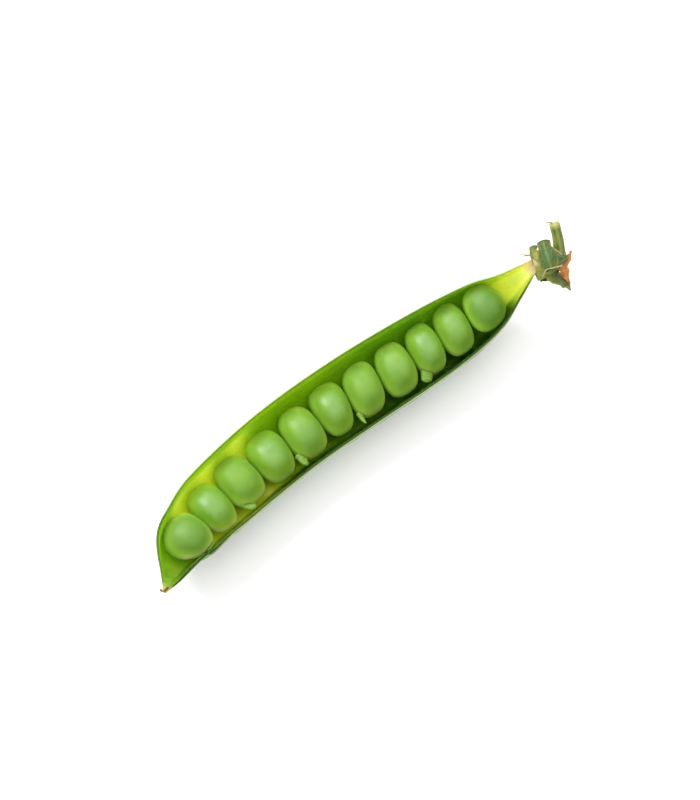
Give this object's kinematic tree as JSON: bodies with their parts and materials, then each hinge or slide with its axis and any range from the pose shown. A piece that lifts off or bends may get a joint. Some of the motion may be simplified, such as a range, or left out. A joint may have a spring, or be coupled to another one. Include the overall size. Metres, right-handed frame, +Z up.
{
  "type": "pea pod",
  "caption": "Fresh garden pea pod, split open along its upper seam, with its row of peas, calyx, stalk and withered flower, lying on its keel.",
  "frame": {"origin": "middle of the small flat under the keel on which the pod rests", "axes": "+Z up out of the surface, +X along the pod from its tip to its stalk, +Y to the back valve, so the mouth faces up and slightly to -Y"},
  "size_m": [0.1072, 0.0189, 0.0191],
  "materials": {
    "pod": "satin",
    "pea": "satin",
    "calyx": "matte",
    "stem": "matte",
    "dried_flower": "matte"
  },
  "bodies": {
    "root": {"pod": "pod", "pea_01": "pea", "pea_02": "pea", "pea_03": "pea", "pea_04": "pea", "pea_05": "pea", "pea_06": "pea", "pea_07": "pea", "pea_08": "pea", "pea_09": "pea", "pea_10": "pea", "pea_11": "pea", "calyx": "calyx", "stem": "stem", "dried_flower": "dried_flower"}
  },
  "joints": []
}
